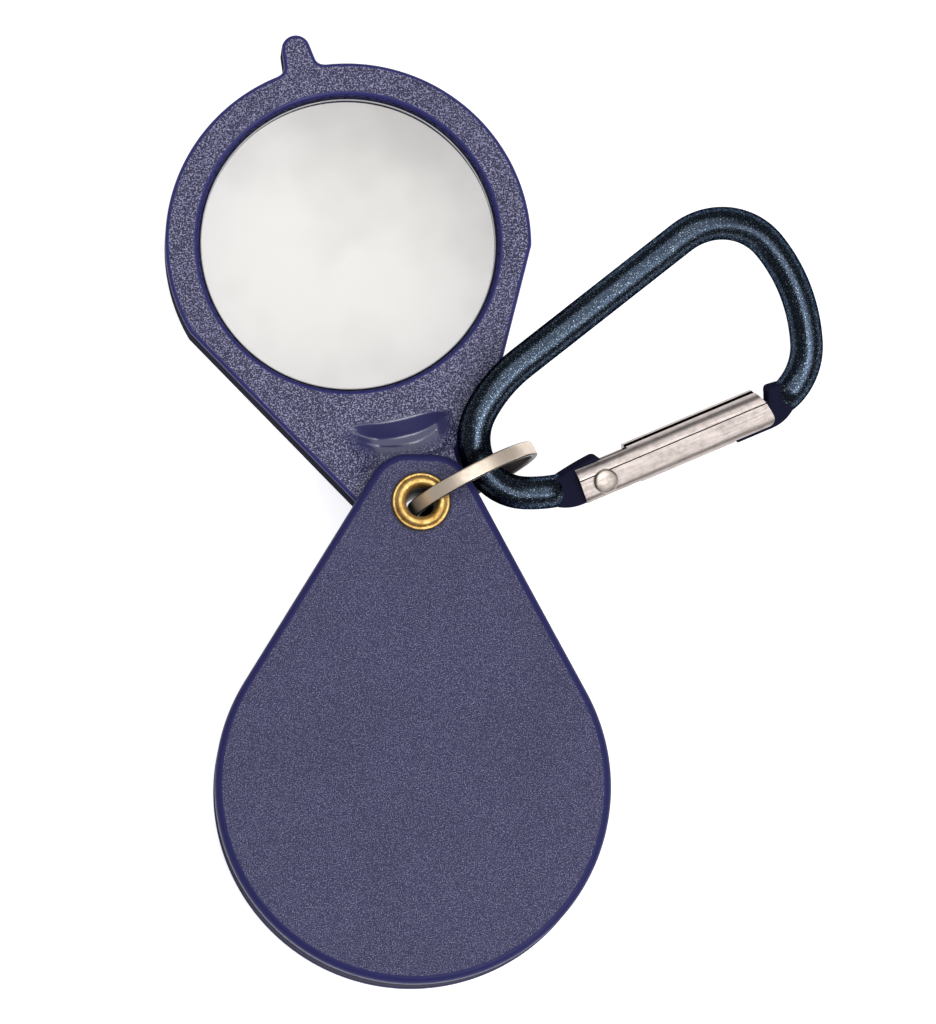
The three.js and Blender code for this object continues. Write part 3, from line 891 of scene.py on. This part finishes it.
def make_split_ring():
    shell = Shell()
    edge = 0.3
    half = RING_WIDTH / 2
    corners = ((RING_OUTER, half), (RING_INNER, half), (RING_INNER, -half), (RING_OUTER, -half))
    section = []
    for corner, start in zip(corners, (0, 90, 180, 270)):
        sign_r = 1 if corner[0] == RING_OUTER else -1
        sign_z = 1 if corner[1] > 0 else -1
        centre = (corner[0] - sign_r * edge, corner[1] - sign_z * edge)
        section += arc(centre, edge, start, start + 90, 5)
    loops = []
    count = 150
    for i in range(count + 1):
        a = rad(-90 + RING_GAP / 2 + (360 - RING_GAP) * i / count)
        loops.append(shell.loop([(r * math.cos(a), r * math.sin(a), z) for r, z in section]))
    shell.strips(loops)
    # painted shade: the inner face and the two flat sides take the dark nickel
    for face in shell.mesh.faces:
        middle = face.calc_center_median()
        if math.hypot(middle.x, middle.y) < RING_INNER + edge * 0.6 or abs(middle.z) > half - 0.1:
            face.material_index = 1
    shell.fill([loops[0]])
    shell.fill([loops[-1]])
    return shell.finish("split_ring_band", ring_frame, [NICKEL, NICKEL_SHADED])


# ---------- carabiner ----------

ROD_STEP = 0.45
ROD_END_THIN = 0.62
SWING_ROOM = 0.08


def rod_path(step=ROD_STEP):
    """Points and headings along the rod's centre line, in the carabiner's frame."""
    (x, y), heading = PIVOT_NECK
    path = [(x, y, heading)]
    for kind, size, turn in ROD_MOVES:
        start = heading
        length = size if kind == "run" else size * rad(turn)
        steps = max(4, round(length / step))
        centre_x = x + size * math.cos(rad(start - 90))
        centre_y = y + size * math.sin(rad(start - 90))
        for i in range(1, steps + 1):
            if kind == "run":
                x += size / steps * math.cos(rad(start))
                y += size / steps * math.sin(rad(start))
            else:
                heading = start - turn * i / steps
                x = centre_x + size * math.cos(rad(heading + 90))
                y = centre_y + size * math.sin(rad(heading + 90))
            path.append((x, y, heading))
    return path


def sweep_rod(shell, radius, path, count=40, shoulder=0.0):
    """A rod along the path. Over the shoulder's length its ends thin down to the flat tongues."""
    loops = []
    last = len(path) - 1
    for i, (x, y, heading) in enumerate(path):
        from_end = ROD_STEP * min(i, last - i)
        thin = 1.0
        if from_end < shoulder:
            swell = math.sin(math.pi / 2 * from_end / shoulder) ** 0.7
            thin = ROD_END_THIN + (1 - ROD_END_THIN) * swell
        side_x, side_y = math.cos(rad(heading + 90)), math.sin(rad(heading + 90))
        points = []
        for across, z in circle(radius, count):
            points.append((x + side_x * across, y + side_y * across, thin * z))
        loops.append(shell.loop(points))
    shell.strips(loops)
    shell.fill([loops[0]])
    shell.fill([loops[-1]])


def make_rod_cutter(radius, lift=0.0):
    """The room for the rod when the carabiner is lifted by that angle on the split ring."""
    shell = Shell()
    sweep_rod(shell, radius, rod_path(1.2), 32)
    swing = joints["carabiner_swing"]
    at = Matrix.Translation(Vector(swing["pos_m"]))
    turn = at @ Matrix.Rotation(rad(lift), 4, Vector(swing["axis"])) @ at.inverted()
    return shell.finish("rod_cutter", turn @ carabiner_frame, [LEAF_SMOOTH])


def clear_rod(piece, room):
    """Leaves room in a piece for the rod, at rest and as the carabiner is lifted."""
    boolean(piece, make_rod_cutter(ROD + room))
    for lift in (0.5 * CARABINER_LIFT, CARABINER_LIFT):
        boolean(piece, make_rod_cutter(ROD + SWING_ROOM, lift))
    piece.data.shade_smooth()
    piece.data.set_sharp_from_angle(angle=rad(35))
    return piece


def pivot_tongue_outline():
    """The rod's flattened end that holds the rivet, in the gate's frame."""
    points = [(-6.3, -1.2)] + curve((-6.3, -1.2), (-5, -2), (-3.4, -2.05)) + [(2.4, -2.05)]
    points += curve((2.4, -2.05), (3.3, -2), (3.3, -1)) + [(3.2, 0.4)]
    points += curve((3.2, 0.4), (2.6, 1.25), (1.2, 1.45)) + [(0.55, 2.35)]
    points += curve((0.55, 2.35), (0.35, 2.95), (-0.3, 2.95))
    points += curve((-0.3, 2.95), (-2.6, 2.75), (-4.6, 2.35))
    return points + curve((-4.6, 2.35), (-5.6, 2.15), (-6.5, 2.0))


def nose_tongue_outline():
    """The rod's hooked end that the gate closes on, in the gate's frame."""
    points = [(17.3, -2.5), (22, -2.5)] + curve((22, -2.5), (23.6, -2.45), (24.7, -1.65))
    points += curve((24.7, -1.65), (25.4, -1.1), (26, -0.9)) + [(26, 2.0)]
    points += curve((26, 2.0), (24.4, 2.35), (23.3, 2.4))
    points += curve((23.3, 2.4), (22.85, 2.3), (22.75, 1.6)) + [(22.5, 0.8), (18.4, 0.7)]
    return points + curve((18.4, 0.7), (17.3, 0.4), (17.2, -0.8))


def make_carabiner_body():
    shell = Shell()
    sweep_rod(shell, ROD, rod_path(), 48, shoulder=1.8)
    rod = shell.finish("carabiner_rod", carabiner_frame, [ANODISED, ANODISED_FLAT])
    for name, outline in (
        ("pivot_tongue", pivot_tongue_outline()),
        ("nose_tongue", nose_tongue_outline()),
    ):
        shell = Shell()
        plate(shell, outline, -TONGUE / 2, TONGUE / 2, 0.3, 0.3, (1, 1, 1), margin=0.05)
        tongue = shell.finish(name, gate_frame, [ANODISED, ANODISED_FLAT])
        boolean(rod, tongue, "UNION")
    rod.data.shade_smooth()
    rod.data.set_sharp_from_angle(angle=rad(38))
    return rod


def make_rivet():
    shell = Shell()
    shank, inside, outside, head = 0.85, 2.4, 2.9, 1.49
    side, shoulder = (head, outside - 0.32), (head - 0.3, outside - 0.08)
    dome = [(head - 0.12, inside), (head, inside + 0.08), side]
    dome += curve(side, (head - 0.05, outside - 0.12), shoulder)
    dome += curve(shoulder, (0.8, outside), (0.5, outside)) + [(0, outside)]
    mirrored = [(r, -z) for r, z in reversed(dome)]
    lathe(shell, mirrored + [(shank, -inside), (shank, inside)] + dome, 48)
    return shell.finish("gate_pivot_rivet", gate_frame, [RIVET_METAL], crease=50)


GATE_START = -3.0
GATE_END = 22.3
GATE_INNER = 2.45
GATE_OUTER = -2.2
GATE_HALF = 2.3
GATE_CORNER = 1.2
GATE_WALL = 0.5
GATE_SEAM = 1.1
CHEEK_EDGE = -1.85
PIVOT_CUT = 4.4
NOSE_CUT = 16.8
NOSE_SLOT = 0.9
SCORE_DEPTH = 0.12
SPRING_WIRE = 0.3


def gate_section():
    """The folded channel's section, [y, z], open at the seam on its inner side.

    Also says after how many points its outside ends, and where the scored line begins.
    """
    middle = GATE_HALF - GATE_CORNER
    near = (GATE_INNER - GATE_CORNER, middle)
    far = (GATE_OUTER + GATE_CORNER, middle)
    far_low = (far[0], -middle)
    near_low = (near[0], -middle)
    tight = GATE_CORNER - GATE_WALL
    points = [(GATE_INNER, GATE_SEAM / 2)]
    points += arc(near, GATE_CORNER, 0, 90, 10)
    points.append((near[0] - 0.05, GATE_HALF))
    score = len(points)
    groove = GATE_HALF - SCORE_DEPTH
    points += [(near[0] - 0.08, groove), (near[0] - 0.17, groove), (near[0] - 0.2, GATE_HALF)]
    points += arc(far, GATE_CORNER, 90, 180, 10)
    points += arc(far_low, GATE_CORNER, 180, 270, 8) + arc(near_low, GATE_CORNER, 270, 360, 8)
    points += [(GATE_INNER, -GATE_SEAM / 2)]
    outside = len(points)
    points += [(GATE_INNER - GATE_WALL, -GATE_SEAM / 2)]
    points += arc(near_low, tight, 360, 270, 6) + arc(far_low, tight, 270, 180, 6)
    points += arc(far, tight, 180, 90, 6) + arc(near, tight, 90, 0, 6)
    return points + [(GATE_INNER - GATE_WALL, GATE_SEAM / 2)], outside, score


def gate_profile():
    start, end, inner, outer = GATE_START, GATE_END, GATE_INNER, GATE_OUTER
    points = [(start + 0.3, outer - 1), (end - 1.4, outer - 1), (end - 0.9, outer + 0.3)]
    points += curve(points[-1], (end + 0.05, outer + 0.5), (end, outer + 1.5))
    points += curve(points[-1], (end - 0.3, inner - 0.6), (end - 1.6, inner + 1))
    return points + [(start + 0.1, inner + 1), (start, inner - 0.3), (start, outer + 0.3)]


def cutter_plate(outline, bottom, top):
    shell = Shell()
    low = shell.loop(at_height(outline, bottom))
    high = shell.loop(at_height(outline, top))
    shell.bridge(low, high)
    shell.fill([low])
    shell.fill([high])
    return shell.finish("cutter", gate_frame, [GATE_METAL])


def cutter_box(x0, x1, y0, y1, half, top=None):
    corners = [(x0, y0), (x1, y0), (x1, y1), (x0, y1)]
    return cutter_plate(corners, -half, half if top is None else top)


def make_gate():
    shell = Shell()
    section, outside, score = gate_section()
    ends = [
        shell.loop([(x, y, z) for y, z in section]) for x in (GATE_START - 0.5, GATE_END + 0.5)
    ]
    sides = shell.bridge(*ends)
    # painted shade: the channel's inside and the scored groove take the near-black metal
    for face in sides[outside - 1 :] + sides[score - 1 : score + 2]:
        face.material_index = 1
    shell.fill([ends[0]])
    shell.fill([ends[1]])
    gate = shell.finish("gate_channel", gate_frame, [GATE_METAL, GATE_SHADED])
    past = 2 * GATE_INNER
    deep = GATE_HALF - GATE_WALL + 0.015
    boolean(gate, cutter_plate(gate_profile(), -past, past), "INTERSECT")
    start, end = GATE_START - past, GATE_END + past
    boolean(gate, cutter_box(start, PIVOT_CUT, -past, CHEEK_EDGE, past))
    boolean(gate, cutter_box(NOSE_CUT, end, -past, CHEEK_EDGE, past))
    fold = GATE_INNER - GATE_WALL - 0.35
    boolean(gate, cutter_box(start, PIVOT_CUT - 0.3, fold, past, past, top=TONGUE / 2 + 0.12))
    boolean(gate, cutter_box(start, PIVOT_CUT, -past, fold, deep))
    boolean(gate, cutter_box(NOSE_CUT, end, -past, NOSE_SLOT, deep))
    gate.data.shade_smooth()
    gate.data.set_sharp_from_angle(angle=rad(40))
    return gate


def make_gate_spring():
    shell = Shell()
    route = [(4.3, 0.9), (6.5, 1.1), (9, 0.2), (12, -0.9), (14.5, -1.2)]
    last = len(route) - 1
    loops = []
    for i, (x, y) in enumerate(route):
        ahead = Vector(route[min(i + 1, last)]) - Vector(route[max(i - 1, 0)])
        side = Vector((-ahead.y, ahead.x)).normalized()
        section = circle(SPRING_WIRE, 16)
        loops.append(shell.loop([(x + side.x * a, y + side.y * a, z) for a, z in section]))
    shell.strips(loops)
    shell.fill([loops[0]])
    shell.fill([loops[-1]])
    return shell.finish("gate_spring_wire", gate_frame, [SPRING_STEEL])


# ---------- pieces on their bodies ----------


def settle(piece, body, node):
    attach(piece, body)
    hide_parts(node)


settle(clear_rod(make_front_cover(), 0.08), "case", "front_cover")
settle(make_rear_cover(), "case", "rear_cover")
settle(make_eyelet(), "case", "eyelet")
settle(make_washer(), "case", "eyelet_washer")
settle(clear_rod(make_lens_frame(), 0.42), "lens_leaf", "lens_frame")
settle(make_lens(), "lens_leaf", "lens")
settle(make_retainer(), "lens_leaf", "lens_retaining_ring")
settle(make_split_ring(), "ring", "split_ring")
settle(make_carabiner_body(), "carabiner", "carabiner_body")
settle(make_rivet(), "carabiner", "gate_rivet")
settle(make_gate(), "gate", "carabiner_gate")
settle(make_gate_spring(), "gate", "gate_spring")

# ---------- floor, light and camera ----------


def make_floor():
    """A glowing white floor just under the object."""
    lowest = cad_bounds[0][2]
    bpy.ops.mesh.primitive_plane_add(size=3, location=(0, 0, lowest - 0.2 * MM))
    floor = bpy.context.object
    floor.name = "floor"
    look = Look("floor_white", Base_Color=(0.8, 0.8, 0.8, 1), Roughness=0.9)
    look.shader.inputs["Emission Color"].default_value = (1, 1, 1, 1)
    look.shader.inputs["Emission Strength"].default_value = 0.72
    floor.data.materials.append(look.material)


def area_light(name, position, target, size, power):
    """A round lamp at a position, in metres, that faces its target."""
    light = bpy.data.lights.new(name, "AREA")
    light.shape = "DISK"
    light.size = size
    light.energy = power
    thing = bpy.data.objects.new(name, light)
    thing.location = position
    thing.rotation_euler = (Vector(target) - Vector(position)).to_track_quat("-Z", "Y").to_euler()
    bpy.context.scene.collection.objects.link(thing)


def make_world(strength):
    world = bpy.data.worlds.new("studio")
    bpy.context.scene.world = world
    world.use_nodes = True
    background = world.node_tree.nodes["Background"]
    background.inputs["Color"].default_value = (1, 1, 1, 1)
    background.inputs["Strength"].default_value = strength


CAMERA_TILT = 9.2            # degrees away from straight down
CAMERA_SIDE = (-0.37, -0.93)  # the way it is tilted, across and up the view
CAMERA_DISTANCE = 0.78       # metres
CAMERA_LEAN = 1.42           # degrees that the case's axis leans to the right in the view
CAMERA_AIM = (5.66, -1.06)   # middle of the view from the eyelet, millimetres
VIEW_HEIGHT = 122.635        # millimetres, at the case's face
SENSOR = 36                  # millimetres


def make_camera():
    lean = rad(CAMERA_LEAN)
    right = Vector((math.cos(lean), math.sin(lean), 0))
    up = Vector((-math.sin(lean), math.cos(lean), 0))
    aim = Vector((CAMERA_AIM[0], pivot_y + CAMERA_AIM[1], CASE_THICKNESS)) * MM
    sideways = CAMERA_SIDE[0] * right + CAMERA_SIDE[1] * up
    away = math.cos(rad(CAMERA_TILT)) * Vector((0, 0, 1)) + math.sin(rad(CAMERA_TILT)) * sideways
    backward = away.normalized()
    across = up.cross(backward).normalized()
    upward = backward.cross(across)
    data = bpy.data.cameras.new("camera")
    data.sensor_fit = "VERTICAL"
    data.sensor_height = SENSOR
    data.lens = SENSOR * CAMERA_DISTANCE / (VIEW_HEIGHT * MM)
    data.clip_start = 0.01
    camera = bpy.data.objects.new("camera", data)
    turn = Matrix((across, upward, backward)).transposed().to_4x4()
    camera.matrix_world = Matrix.Translation(aim + backward * CAMERA_DISTANCE) @ turn
    bpy.context.scene.collection.objects.link(camera)
    bpy.context.scene.camera = camera


make_floor()
make_world(0.18)
area_light("overhead", (0.03, 0.12, 0.85), target=(0, 0.03, 0), size=0.98, power=4.4)
area_light("gate_side", (0.47, -0.29, 0.67), target=(0.02, 0.04, 0), size=0.42, power=1.25)
area_light("crease", (0.21, -0.37, 0.71), target=(0, 0.04, 0), size=0.19, power=1.3)
make_camera()
bpy.context.scene.view_settings.view_transform = "Standard"
